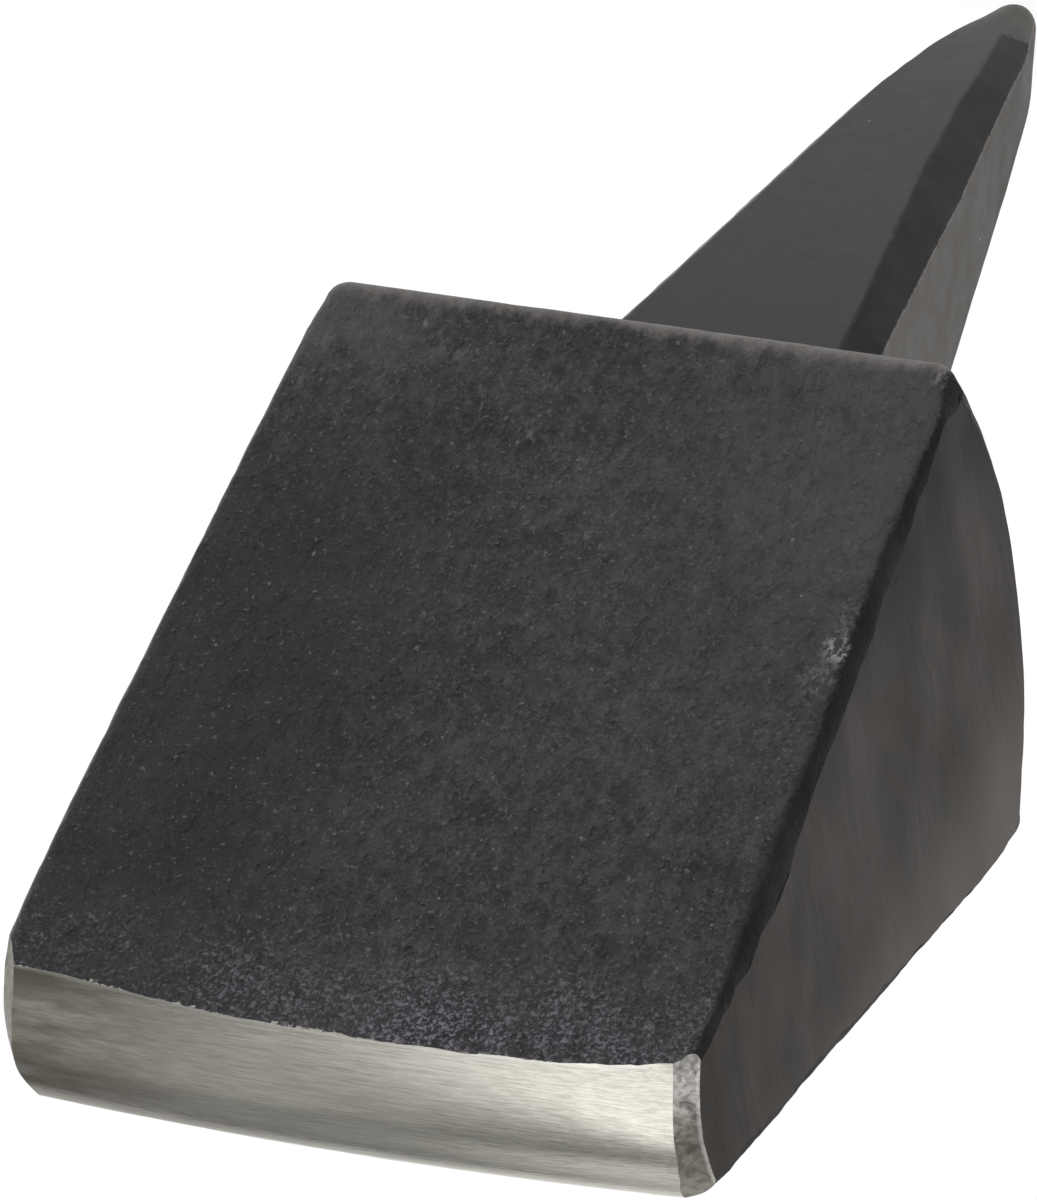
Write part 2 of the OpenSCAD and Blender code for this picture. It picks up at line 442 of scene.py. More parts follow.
def tangPoint(co):
    depth = tangDepth(co.z)
    sides = (1 if co.x > 0 else -1, 1 if co.y > 0 else -1)
    a = spikeHalf(depth, tang["rootX"], tang["endX"])
    b = spikeHalf(depth, tang["rootY"], tang["endY"])
    under = max(depth + shoulderAt(min(abs(co.y), 1) * b), 0)
    flare = tang["fillet"] * max(0, 1 - under / (2 * tang["fillet"])) ** 3
    flare += fromTable(tang["fuller"], depth / mm) * mm
    a, b = a + flare, b + flare
    corner = Vector((sides[0] * 30 * mm, sides[1] * 30 * mm, depth))
    chamfer = fromTable(tang["chamfers"][sides], depth / mm) * mm
    chamfer *= 1 + tang["chamferUneven"] * fractal(corner, tang["unevenSize"], 2.3, 5, 0.5)
    chamfer = min(chamfer, 0.8 * min(a, b))
    gaps = []
    for share, half in ((1 - abs(co.x), a), (1 - abs(co.y), b)):
        if share < chamferShare:
            gaps.append(chamfer * share / chamferShare)
        else:
            gaps.append(chamfer + (half - chamfer) * (share - chamferShare) / (1 - chamferShare))
    gapX, gapY = gaps
    past = (max(gapX, gapY) - chamfer) / mm
    if abs(co.x) > 0.999 and gapY < chamfer:
        gapX, gapY = (chamfer - gapY) / 2, (chamfer + gapY) / 2
    elif abs(co.y) > 0.999 and gapX < chamfer:
        gapX, gapY = (chamfer + gapX) / 2, (chamfer - gapX) / 2
    p = Vector((sides[0] * (a - gapX), sides[1] * (b - gapY), 0))
    # the square rounds in to a dome at the point
    size = max(abs(co.x), abs(co.y))
    rounded = fromTable([(tang["roundFrom"], 0), (tang["length"] - tang["tipRadius"], 1)], depth)
    p = p.lerp(p.normalized() * size * (a + b) / 2, rounded)
    intoDome = max(0, 1 - (tang["length"] - depth) / tang["tipRadius"])
    p *= math.sqrt(1 - intoDome ** 2)
    outward = p.normalized()
    p.x += fromTable(tang["lean"], depth / mm) * mm
    p.z = -depth
    p += outward * tang["waveDepth"] * fractal(p, tang["waveSize"], 7.3, 3) * min(1, b / tang["endY"])
    return p, {"pastChamfer": past if sides == tang["paintedShadeChamfer"] else 9.0}


print("tang: drawing out")
chamferRows = [chamferShare * share for share in (0.3, 0.6, 0.9, 1.0, 1.12)]
tangObj = gridBlock(
    "forgedTang",
    [mirrored(chamferRows), mirrored(chamferRows), [-0.996, -0.99, -0.982, -0.974, -0.964, -0.95, -0.935]],
    [tang["acrossCuts"], tang["acrossCuts"], tang["cuts"]],
)
sideSlot, flatSlot, chamferSlot = range(3)
for face in tangObj.data.polygons:
    x, y, z = face.center
    if min(abs(x), abs(y)) > 1 - chamferShare or abs(z) > 0.999:
        face.material_index = chamferSlot
    else:
        face.material_index = sideSlot if abs(face.normal.x) > 0.9 else flatSlot
shapeBlock(tangObj, tangPoint, ["pastChamfer"])
selectOnly(tangObj)
bpy.ops.object.mode_set(mode="EDIT")
bpy.ops.mesh.select_all(action="SELECT")
bpy.ops.mesh.remove_doubles(threshold=0.005 * mm)
bpy.ops.mesh.normals_make_consistent(inside=False)
bpy.ops.object.mode_set(mode="OBJECT")
print("tang: faces", len(tangObj.data.polygons))


# Part the crown from the head along its ground edge, and close both

selectOnly(headObj)
bpy.ops.object.mode_set(mode="EDIT")
bpy.ops.mesh.select_mode(type="FACE")
bpy.ops.mesh.select_all(action="DESELECT")
bpy.ops.object.mode_set(mode="OBJECT")
for face in headObj.data.polygons:
    face.select = face.material_index in (crownSlot, bevelSlot)
bpy.ops.object.mode_set(mode="EDIT")
bpy.ops.mesh.separate(type="SELECTED")
bpy.ops.object.mode_set(mode="OBJECT")
crownObj = [o for o in bpy.context.selected_objects if o != headObj][0]
crownObj.name = "strikingFace"
for obj in (headObj, crownObj):
    before = len(obj.data.polygons)
    selectOnly(obj)
    bpy.ops.object.mode_set(mode="EDIT")
    bpy.ops.mesh.select_all(action="SELECT")
    bpy.ops.mesh.fill_holes(sides=0)
    bpy.ops.mesh.select_all(action="SELECT")
    bpy.ops.mesh.normals_make_consistent(inside=False)
    bpy.ops.object.mode_set(mode="OBJECT")
    for face in list(obj.data.polygons)[before:]:
        face.material_index = crownSlot if obj == headObj else forgedSlot
smooth(headObj, 28, True)
smooth(crownObj, 28, True)
smooth(tangObj, 50, False)


# Materials: patterns are in millimetres, on the pieces' own coordinates

soft = {"interpolation_type": "SMOOTHSTEP"}


lacquer = {
    "pit": "#171516",
    "crest": "#3d3a3b",
    "left": "#0f0e0f",       # painted shade towards the left end
    "smooth": "#454243",     # painted light, towards the shoulder and the right end
    "violet": ("#1f1c22", "#88838d"),        # thin and violet near the face, with painted highlights as pale glints
    "paintedEdgeShade": "#080708",     # painted shade along the rounded edges
    "worn": "#76726f",       # painted highlight along an edge
    "bare": "#b5b1a8",
    "deep": "#0d0c0d",       # painted shade in pits and strokes
    "paintedGlint": "#747172",
    "speck": "#8d8a8b",
    "grainSize": 0.28,       # fine orange peel, mm
    "crustSize": 1.0,        # forged lumps, drawn out along the slope
    "pitSize": 0.85,
    "patchSize": 7.0,
    "marks": [               # place, reach, size of one mark, how rare, colour, strength
        ((18.5, -17.0, 6.5), 8.0, 3.0, 0.30, "#4f4c4f", 0.6),        # lighter by the left shoulder corner
        ((18.9, -16.6, 8.9), 1.1, 0.6, 0.36, "#6a6768", 0.5),        # pale flakes there
        ((19.6, -16.0, 12.0), 1.0, 0.5, 0.40, "#6a6768", 0.4),
        ((13.9, -17.0, 6.8), 2.4, 0.7, 0.50, "#787576", 0.6),
        ((10.9, -16.8, 7.7), 2.0, 0.8, 0.52, "#6f6c6d", 0.5),
        ((5.0, -15.8, 11.9), 5.0, 0.7, 0.56, "#6f6c6d", 0.6),
        ((0.0, -14.7, 16.5), 5.5, 0.45, 0.60, "#6f6c6d", 0.6),
        ((-3.0, -13.5, 21.3), 5.0, 0.4, 0.61, "#777475", 0.6),
        ((-20.9, -13.0, 23.4), 2.0, 0.32, 0.46, "#8a878d", 0.4),     # scuffs beside the rounded edge
        ((-20.8, -12.4, 25.6), 1.8, 0.3, 0.46, "#b0adb0", 0.75),
        ((-20.3, -11.8, 28.1), 2.0, 0.32, 0.47, "#838086", 0.4),
        ((-20.8, -17.3, 4.9), 2.0, 0.3, 0.46, "#a5a2a0", 0.8),       # chipped shoulder corner
    ],
}


def lacqueredForging(name):
    # thin matt black lacquer over forging scale: dull, with a soft sheen that breaks up on grain and pits
    material, tree = newMaterial(name)
    coords = addNode(tree, "ShaderNodeTexCoord")
    place = addNode(tree, "ShaderNodeMapping", {"Scale": [1 / mm] * 3}, {"Vector": coords.outputs["Object"]})
    drawnOut = addNode(tree, "ShaderNodeMapping", {"Scale": (1, 1, 0.6)}, {"Vector": place})
    axes = addNode(tree, "ShaderNodeSeparateXYZ", None, {0: place})
    fromFace = addNode(tree, "ShaderNodeAttribute", {"attribute_name": "fromFace"}).outputs["Fac"]
    edgeShadeHere = addNode(tree, "ShaderNodeAttribute", {"attribute_name": "paintedEdgeShade"}).outputs["Fac"]
    rimHighlightHere = addNode(tree, "ShaderNodeAttribute", {"attribute_name": "worn"}).outputs["Fac"]
    noises = {}
    for key, size, detail, rough, distortion, vector in (
        ("grain", lacquer["grainSize"], 3, 0.65, 0.6, place),
        ("crust", lacquer["crustSize"], 4, 0.6, 0.2, drawnOut),
        ("pit", lacquer["pitSize"], 2, 0.5, 0.2, drawnOut),
        ("pitPatch", lacquer["pitSize"] * 4, 2, 0.5, 0.0, place),
        ("patch", lacquer["patchSize"], 3, 0.5, 0.0, place),
        ("jag", 0.4, 4, 0.7, 0.0, place),
        ("jagPatch", 3.0, 2, 0.5, 0.0, place),
        ("broken", 1.1, 4, 0.6, 0.4, place),
        ("brokenPatch", 0.9, 2, 0.6, 0.0, drawnOut),
    ):
        noises[key] = addNode(
            tree, "ShaderNodeTexNoise",
            {"Scale": 1 / size, "Detail": detail, "Roughness": rough, "Distortion": distortion}, {"Vector": vector},
        ).outputs["Fac"]
    grain, crust, patch = noises["grain"], noises["crust"], noises["patch"]

    # smoother, and painted lighter, towards the right end of the shoulder
    towardsEnd = addNode(tree, "ShaderNodeMapRange", {**soft, 1: 4.0, 2: -20.0}, {0: axes.outputs[0]})
    towardsShoulder = addNode(tree, "ShaderNodeMapRange", {**soft, 1: 46.0, 2: 8.0}, {0: axes.outputs[2]})
    smootherAndPaintedLight = addNode(tree, "ShaderNodeMath", {"operation": "MULTIPLY"}, {0: towardsEnd, 1: towardsShoulder})
    lively = addNode(tree, "ShaderNodeMapRange", {3: 1.0, 4: 0.4}, {0: smootherAndPaintedLight})

    # pits where scale was pressed in and came away
    low = addNode(tree, "ShaderNodeMapRange", {**soft, 1: 0.48, 2: 0.28}, {0: noises["pit"]})
    where = addNode(tree, "ShaderNodeMapRange", {**soft, 1: 0.42, 2: 0.58}, {0: noises["pitPatch"]})
    pitted = addNode(tree, "ShaderNodeMath", {"operation": "MULTIPLY"}, {0: low, 1: where})

    # short strokes where the scale broke
    along = addNode(tree, "ShaderNodeMath", {"operation": "COMPARE", 1: 0.5, 2: 0.02}, {0: noises["broken"]})
    here = addNode(tree, "ShaderNodeMapRange", {**soft, 1: 0.46, 2: 0.56}, {0: noises["brokenPatch"]})
    here = addNode(tree, "ShaderNodeMath", {"operation": "MULTIPLY"}, {0: here, 1: lively})
    strokes = addNode(tree, "ShaderNodeMath", {"operation": "MULTIPLY"}, {0: along, 1: here})

    # colour: painted shade in the pits, painted light on the crests
    height = addNode(tree, "ShaderNodeMix", {0: 0.5}, {2: crust, 3: grain}).outputs[0]
    share = addNode(tree, "ShaderNodeMapRange", {**soft, 1: 0.38, 2: 0.62}, {0: height})
    rgba = {"data_type": "RGBA"}
    tone = addNode(
        tree, "ShaderNodeMix", {**rgba, 6: srgb(lacquer["pit"]), 7: srgb(lacquer["crest"])}, {0: share},
    ).outputs[2]
    # painted shade towards the left end, below the rim
    towardsLeft = addNode(tree, "ShaderNodeMapRange", {**soft, 1: -2.0, 2: 15.0, 4: 0.85}, {0: axes.outputs[0]})
    belowRim = addNode(tree, "ShaderNodeMapRange", {**soft, 1: 8.0, 2: 26.0}, {0: axes.outputs[2]})
    towardsLeft = addNode(tree, "ShaderNodeMath", {"operation": "MULTIPLY"}, {0: towardsLeft, 1: belowRim})
    tone = addNode(tree, "ShaderNodeMix", {**rgba, 7: srgb(lacquer["left"])}, {0: towardsLeft, 6: tone}).outputs[2]
    # painted light towards the right end and the shoulder
    paintedLightShare = addNode(tree, "ShaderNodeMath", {"operation": "MULTIPLY", 1: 0.7}, {0: smootherAndPaintedLight})
    tone = addNode(tree, "ShaderNodeMix", {**rgba, 7: srgb(lacquer["smooth"])}, {0: paintedLightShare, 6: tone}).outputs[2]
    # near the face: a violet tint, with painted highlights on the grain
    nearFace = addNode(tree, "ShaderNodeMapRange", {**soft, 1: 8.0, 2: 1.0}, {0: fromFace})
    unevenly = addNode(tree, "ShaderNodeMapRange", {**soft, 1: 0.38, 2: 0.6, 3: 0.35, 4: 1.0}, {0: patch})
    towardsRight = addNode(tree, "ShaderNodeMapRange", {**soft, 1: 20.0, 2: -8.0, 3: 0.35, 4: 1.0}, {0: axes.outputs[0]})
    for factor in (unevenly, towardsRight):
        nearFace = addNode(tree, "ShaderNodeMath", {"operation": "MULTIPLY"}, {0: nearFace, 1: factor})
    glint = addNode(tree, "ShaderNodeMapRange", {**soft, 1: 0.45, 2: 0.66}, {0: grain})
    violet = addNode(
        tree, "ShaderNodeMix", {**rgba, 6: srgb(lacquer["violet"][0]), 7: srgb(lacquer["violet"][1])}, {0: glint},
    ).outputs[2]
    tone = addNode(tree, "ShaderNodeMix", rgba, {0: nearFace, 6: tone, 7: violet}).outputs[2]
    # painted shade in the pits and strokes
    for marks, share in ((pitted, 0.45), (strokes, 0.85)):
        faint = addNode(tree, "ShaderNodeMath", {"operation": "MULTIPLY", 1: share}, {0: marks})
        tone = addNode(tree, "ShaderNodeMix", {**rgba, 7: srgb(lacquer["deep"])}, {0: faint, 6: tone}).outputs[2]
    # painted glints on the grain, where the surface is lively
    paintedGlints = addNode(tree, "ShaderNodeMapRange", {**soft, 1: 0.6, 2: 0.72, 4: 0.75}, {0: grain})
    paintedGlints = addNode(tree, "ShaderNodeMath", {"operation": "MULTIPLY"}, {0: paintedGlints, 1: lively})
    tone = addNode(tree, "ShaderNodeMix", {**rgba, 7: srgb(lacquer["paintedGlint"])}, {0: paintedGlints, 6: tone}).outputs[2]

    # marks of use in their own places
    for centre, reach, size, rare, colour, strength in lacquer["marks"]:
        away = addNode(tree, "ShaderNodeVectorMath", {"operation": "DISTANCE", 1: centre}, {0: place})
        near = addNode(tree, "ShaderNodeMapRange", {**soft, 1: reach, 2: reach * 0.2, 4: strength}, {0: away.outputs[1]})
        blots = addNode(
            tree, "ShaderNodeTexNoise", {"Scale": 1 / size, "Detail": 3, "Distortion": 0.3}, {"Vector": drawnOut},
        )
        blot = addNode(tree, "ShaderNodeMapRange", {**soft, 1: rare, 2: rare + 0.18}, {0: blots})
        here = addNode(tree, "ShaderNodeMath", {"operation": "MULTIPLY"}, {0: near, 1: blot})
        tone = addNode(tree, "ShaderNodeMix", {**rgba, 7: srgb(colour)}, {0: here, 6: tone}).outputs[2]
    cells = addNode(tree, "ShaderNodeTexVoronoi", {"Scale": 1.0}, {"Vector": place})
    chosen = addNode(tree, "ShaderNodeSeparateColor", None, {0: cells.outputs["Color"]}).outputs[0]
    chosen = addNode(tree, "ShaderNodeMapRange", {1: 0.96, 2: 0.98, 4: 0.8}, {0: chosen})
    small = addNode(tree, "ShaderNodeMapRange", {1: 0.12, 2: 0.05}, {0: cells.outputs["Distance"]})
    speck = addNode(tree, "ShaderNodeMath", {"operation": "MULTIPLY"}, {0: chosen, 1: small})
    tone = addNode(tree, "ShaderNodeMix", {**rgba, 7: srgb(lacquer["speck"])}, {0: speck, 6: tone}).outputs[2]

    # painted highlight along the free edges, painted shade along the rounded ones, chipped off along the ground face
    # painted highlight along the rims
    paintedLighter = addNode(tree, "ShaderNodeMath", {"operation": "MULTIPLY_ADD", 1: 0.5, 2: -0.25}, {0: crust})
    paintedLighter = addNode(tree, "ShaderNodeMath", {"operation": "ADD"}, {0: paintedLighter, 1: rimHighlightHere})
    paintedLighter = addNode(tree, "ShaderNodeMapRange", {**soft, 1: 0.6, 2: 0.95, 4: 0.85}, {0: paintedLighter})
    tone = addNode(tree, "ShaderNodeMix", {**rgba, 7: srgb(lacquer["worn"])}, {0: paintedLighter, 6: tone}).outputs[2]
    ragged = addNode(tree, "ShaderNodeMath", {"operation": "MULTIPLY_ADD", 1: 1.1, 2: -0.55}, {0: height})
    ragged = addNode(tree, "ShaderNodeMath", {"operation": "ADD"}, {0: ragged, 1: edgeShadeHere})
    paintedEdgeShade = addNode(tree, "ShaderNodeMapRange", {**soft, 1: 0.24, 2: 0.52}, {0: ragged})
    tone = addNode(tree, "ShaderNodeMix", {**rgba, 7: srgb(lacquer["paintedEdgeShade"])}, {0: paintedEdgeShade, 6: tone}).outputs[2]
    chips = addNode(tree, "ShaderNodeMapRange", {1: -10.0, 2: 4.0, 3: 0.3, 4: 1.0}, {0: axes.outputs[0]})
    inPlaces = addNode(tree, "ShaderNodeMapRange", {**soft, 1: 0.44, 2: 0.58, 3: 0.25, 4: 1.5}, {0: noises["jagPatch"]})
    chips = addNode(tree, "ShaderNodeMath", {"operation": "MULTIPLY"}, {0: chips, 1: inPlaces})
    jagged = addNode(tree, "ShaderNodeMath", {"operation": "SUBTRACT", 1: 0.44}, {0: noises["jag"]})
    jagged = addNode(tree, "ShaderNodeMath", {"operation": "MULTIPLY"}, {0: jagged, 1: chips})
    jagged = addNode(tree, "ShaderNodeMath", {"operation": "SUBTRACT"}, {0: jagged, 1: fromFace})
    bare = addNode(tree, "ShaderNodeMapRange", {1: 0.0, 2: 0.03}, {0: jagged})
    tone = addNode(tree, "ShaderNodeMix", {**rgba, 7: srgb(lacquer["bare"])}, {0: bare, 6: tone}).outputs[2]

    gloss = addNode(tree, "ShaderNodeMapRange", {**soft, 1: 0.35, 2: 0.65, 3: 0.42, 4: 0.55}, {0: patch})
    gloss = addNode(tree, "ShaderNodeMath", {"operation": "MULTIPLY_ADD", 1: 0.25}, {0: paintedEdgeShade, 2: gloss})
    normal = None
    for height, depth, varying in (
        (crust, 0.30, lively), (pitted, -0.10, lively), (strokes, -0.07, None), (grain, 0.13, None),
    ):
        normal = addNode(
            tree, "ShaderNodeBump", {"Distance": depth * mm, "Strength": 1.0},
            {"Height": height, "Strength": varying, "Normal": normal},
        )
    shader = addNode(
        tree, "ShaderNodeBsdfPrincipled", {"Metallic": 0.0, "IOR": 1.5, "Specular IOR Level": 0.3},
        {"Base Color": tone, "Roughness": gloss, "Normal": normal},
    )
    addNode(tree, "ShaderNodeOutputMaterial", None, {"Surface": shader})
    return material


blackened = {
    "dark": "#211f1c",
    "pale": "#3e3833",
    "clouds": ("#2f302b", "#3b302d"),        # greenish and brownish patches of the blackening
    "paintedLighter": "#6b6460",     # painted light towards the rear
    "corner": "#060606",     # painted shade, towards the shoulder at the front
    "scratch": "#161514",
    "streakSize": 0.16,      # grinding lines, drawn a little coarser than the grit
    "cloudSize": 5.0,
}


def blackenedGround(name):
    # ground flat across the wedge, then blackened: fine parallel lines show through a thin dark skin
    material, tree = newMaterial(name)
    coords = addNode(tree, "ShaderNodeTexCoord")
    place = addNode(tree, "ShaderNodeMapping", {"Scale": [1 / mm] * 3}, {"Vector": coords.outputs["Object"]})
    axes = addNode(tree, "ShaderNodeSeparateXYZ", None, {0: place})
    noises = []
    for size, detail, rough, drawnOut, turn in (
        (blackened["streakSize"], 5, 0.7, 14, -4), (0.8, 4, 0.6, 8, -4), (blackened["cloudSize"], 3, 0.5, 2, 0),
        (blackened["cloudSize"] * 0.8, 3, 0.5, 2.5, -30), (0.5, 2, 0.5, 8, -7),
    ):
        turned = addNode(
            tree, "ShaderNodeMapping",
            {"vector_type": "TEXTURE", "Scale": (1, drawnOut, 1), "Rotation": (math.radians(turn), 0, 0)},
            {"Vector": place},
        )
        noises.append(addNode(
            tree, "ShaderNodeTexNoise", {"Scale": 1 / size, "Detail": detail, "Roughness": rough}, {"Vector": turned},
        ).outputs["Fac"])
    lines, streaks, clouds, otherClouds, scratches = noises
    rgba = {"data_type": "RGBA"}
    both = addNode(tree, "ShaderNodeMix", {0: 0.4}, {2: lines, 3: streaks}).outputs[0]
    share = addNode(tree, "ShaderNodeMapRange", {**soft, 1: 0.34, 2: 0.66}, {0: both})
    tone = addNode(
        tree, "ShaderNodeMix", {**rgba, 6: srgb(blackened["dark"]), 7: srgb(blackened["pale"])}, {0: share},
    ).outputs[2]
    for cloud, colour in ((clouds, blackened["clouds"][0]), (otherClouds, blackened["clouds"][1])):
        cloudy = addNode(tree, "ShaderNodeMapRange", {**soft, 1: 0.38, 2: 0.66, 4: 0.6}, {0: cloud})
        tone = addNode(tree, "ShaderNodeMix", {**rgba, 7: srgb(colour)}, {0: cloudy, 6: tone}).outputs[2]
    scratched = addNode(tree, "ShaderNodeMapRange", {**soft, 1: 0.68, 2: 0.74, 4: 0.7}, {0: scratches})
    tone = addNode(tree, "ShaderNodeMix", {**rgba, 7: srgb(blackened["scratch"])}, {0: scratched, 6: tone}).outputs[2]
    # painted light towards the rear, painted shade towards the shoulder at the front
    for axis, start, end, strength, colour in (
        (1, 3.0, 15.5, 0.85, blackened["paintedLighter"]), (1, -7.0, -14.0, 0.9, blackened["corner"]),
    ):
        reach = addNode(tree, "ShaderNodeMapRange", {**soft, 1: start, 2: end, 4: strength}, {0: axes.outputs[axis]})
        tone = addNode(tree, "ShaderNodeMix", {**rgba, 7: srgb(colour)}, {0: reach, 6: tone}).outputs[2]
    gloss = addNode(tree, "ShaderNodeMapRange", {**soft, 1: 0.3, 2: 0.7, 3: 0.4, 4: 0.5}, {0: clouds})
    normal = None
    for height, depth, strength in ((streaks, 0.03, 0.5), (lines, 0.02, 0.6)):
        normal = addNode(
            tree, "ShaderNodeBump", {"Distance": depth * mm, "Strength": strength}, {"Height": height, "Normal": normal},
        )
    shader = addNode(
        tree, "ShaderNodeBsdfPrincipled", {"Metallic": 0.0, "IOR": 1.5, "Specular IOR Level": 0.06},
        {"Base Color": tone, "Roughness": gloss, "Normal": normal},
    )
    addNode(tree, "ShaderNodeOutputMaterial", None, {"Surface": shader})
    return material


# each face has its own colours: sides and chamfers painted lighter, flats darker, painted light and shade on one drawn
# finish
drawn = {
    "flat": {"root": "#353233", "tip": "#4c494a", "lines": (0.25, 1, 1), "edge": 0.0, "level": 0.2,
             "spread": 0.25, "ragged": 0.45},
    "side": {"root": "#49433d", "tip": "#3e3933", "lines": (1, 1, 0.12), "edge": 0.6, "level": 0.2,
             "spread": 0.08, "ragged": 1.2},
    "corner": {"root": "#615d5a", "tip": "#55524f", "lines": (1, 1, 0.12), "edge": 0.0, "level": 0.24,
               "spread": 0.25, "ragged": 0.45},
    "lacquer": ("#060506", "#373435"),       # painted shade on that chamfer, by the shoulder and towards the point
    "edge": "#7d7872",       # painted highlight where the chamfer meets the side
    "worn": "#524f48",       # the point, from being driven in
    "speck": "#8d8a8b",
    "chamferShadeEnd": -47.9,     # where the painted shade on the chamfer ends, mm
    "endSlant": 0.55,
}


def blackenedDrawn(name, look):
    # drawn out under the hammer and blackened: dull, nearly even, with faint marks and painted shade on one chamfer
    material, tree = newMaterial(name)
    coords = addNode(tree, "ShaderNodeTexCoord")
    place = addNode(tree, "ShaderNodeMapping", {"Scale": [1 / mm] * 3}, {"Vector": coords.outputs["Object"]})
    axes = addNode(tree, "ShaderNodeSeparateXYZ", None, {0: place})
    pastChamfer = addNode(tree, "ShaderNodeAttribute", {"attribute_name": "pastChamfer"}).outputs["Fac"]
    noises = []
    for size, detail, rough, stretch in ((0.16, 5, 0.7, look["lines"]), (2.2, 4, 0.6, (1, 1, 1)), (0.55, 4, 0.6, (1, 1, 1))):
        drawnOut = addNode(tree, "ShaderNodeMapping", {"Scale": stretch}, {"Vector": place})
        noises.append(addNode(
            tree, "ShaderNodeTexNoise", {"Scale": 1 / size, "Detail": detail, "Roughness": rough}, {"Vector": drawnOut},
        ).outputs["Fac"])
    lines, blots, fine = noises
    rgba = {"data_type": "RGBA"}
    towardsTip = addNode(tree, "ShaderNodeMapRange", {1: -8.0, 2: -50.0}, {0: axes.outputs[2]})
    tone = addNode(
        tree, "ShaderNodeMix", {**rgba, 6: srgb(look["root"]), 7: srgb(look["tip"])}, {0: towardsTip},
    ).outputs[2]
    both = addNode(tree, "ShaderNodeMix", {0: 0.65}, {2: lines, 3: blots}).outputs[0]
    level = addNode(tree, "ShaderNodeMapRange", {1: 0.3, 2: 0.7, 3: 0.65, 4: 1.35}, {0: both})
    tone = addNode(tree, "ShaderNodeVectorMath", {"operation": "SCALE"}, {0: tone, 3: level}).outputs[0]
    atTip = addNode(tree, "ShaderNodeMath", {"operation": "MULTIPLY_ADD", 1: 5.0}, {0: fine, 2: axes.outputs[2]})
    atTip = addNode(tree, "ShaderNodeMapRange", {**soft, 1: -47.0, 2: -50.0, 4: 0.8}, {0: atTip})
    tone = addNode(tree, "ShaderNodeMix", {**rgba, 7: srgb(drawn["worn"])}, {0: atTip, 6: tone}).outputs[2]
    cells = addNode(tree, "ShaderNodeTexVoronoi", {"Scale": 0.55}, {"Vector": place})
    chosen = addNode(tree, "ShaderNodeSeparateColor", None, {0: cells.outputs["Color"]}).outputs[0]
    chosen = addNode(tree, "ShaderNodeMapRange", {1: 0.93, 2: 0.95}, {0: chosen})
    small = addNode(tree, "ShaderNodeMapRange", {1: 0.09, 2: 0.05}, {0: cells.outputs["Distance"]})
    speck = addNode(tree, "ShaderNodeMath", {"operation": "MULTIPLY"}, {0: chosen, 1: small})
    tone = addNode(tree, "ShaderNodeMix", {**rgba, 7: srgb(drawn["speck"])}, {0: speck, 6: tone}).outputs[2]
    ragged = addNode(
        tree, "ShaderNodeMath", {"operation": "MULTIPLY_ADD", 1: look["ragged"]}, {0: fine, 2: pastChamfer},
    )
    # painted highlight beside the chamfer
    beside = addNode(tree, "ShaderNodeMapRange", {**soft, 1: 0.35, 2: 0.1, 4: look["edge"]}, {0: pastChamfer})
    tone = addNode(tree, "ShaderNodeMix", {**rgba, 7: srgb(drawn["edge"])}, {0: beside, 6: tone}).outputs[2]
    # painted shade along that one chamfer
    middle = look["ragged"] * 0.5 + look["spread"] / 2
    paintedShadeChamfer = addNode(tree, "ShaderNodeMapRange", {**soft, 1: middle + look["spread"], 2: middle - look["spread"]}, {0: ragged})
    slanting = addNode(tree, "ShaderNodeMath", {"operation": "SUBTRACT"}, {0: axes.outputs[0], 1: axes.outputs[1]})
    before = addNode(
        tree, "ShaderNodeMath", {"operation": "MULTIPLY_ADD", 1: -drawn["endSlant"]}, {0: slanting, 2: axes.outputs[2]},
    )
    before = addNode(tree, "ShaderNodeMath", {"operation": "MULTIPLY_ADD", 1: 1.6}, {0: fine, 2: before})
    before = addNode(
        tree, "ShaderNodeMapRange", {**soft, 1: drawn["chamferShadeEnd"] - 0.25, 2: drawn["chamferShadeEnd"] + 0.25}, {0: before},
    )
    paintedShadeChamfer = addNode(tree, "ShaderNodeMath", {"operation": "MULTIPLY"}, {0: paintedShadeChamfer, 1: before})
    black = addNode(
        tree, "ShaderNodeMix", {**rgba, 6: srgb(drawn["lacquer"][0]), 7: srgb(drawn["lacquer"][1])}, {0: towardsTip},
    ).outputs[2]
    tone = addNode(tree, "ShaderNodeMix", rgba, {0: paintedShadeChamfer, 6: tone, 7: black}).outputs[2]
    gloss = addNode(tree, "ShaderNodeMapRange", {**soft, 1: 0.3, 2: 0.7, 3: 0.42, 4: 0.52}, {0: blots})
    gloss = addNode(tree, "ShaderNodeMath", {"operation": "MULTIPLY_ADD", 1: 0.15}, {0: paintedShadeChamfer, 2: gloss})
    normal = None
    for height, depth, strength in ((blots, 0.06, 0.6), (lines, 0.02, 0.6)):
        normal = addNode(
            tree, "ShaderNodeBump", {"Distance": depth * mm, "Strength": strength}, {"Height": height, "Normal": normal},
        )
    shader = addNode(
        tree, "ShaderNodeBsdfPrincipled", {"Metallic": 0.0, "IOR": 1.5, "Specular IOR Level": look["level"]},
        {"Base Color": tone, "Roughness": gloss, "Normal": normal},
    )
    addNode(tree, "ShaderNodeOutputMaterial", None, {"Surface": shader})
    return material


ground = {
    "low": "#bbb8ae",
    "high": "#d8d6cc",
    "deep": "#a39f95",
    "oilAndPaintedShade": "#7d7669",     # handling, old oil and painted shade towards the left end
    "rear": "#57524a",       # painted shade along the rear edge there
    "edge": "#f0efe8",       # painted highlight along the ground edge, where a fine burr is
    "lineSize": 0.11,        # grinding lines
    "streakSize": 0.4,
}


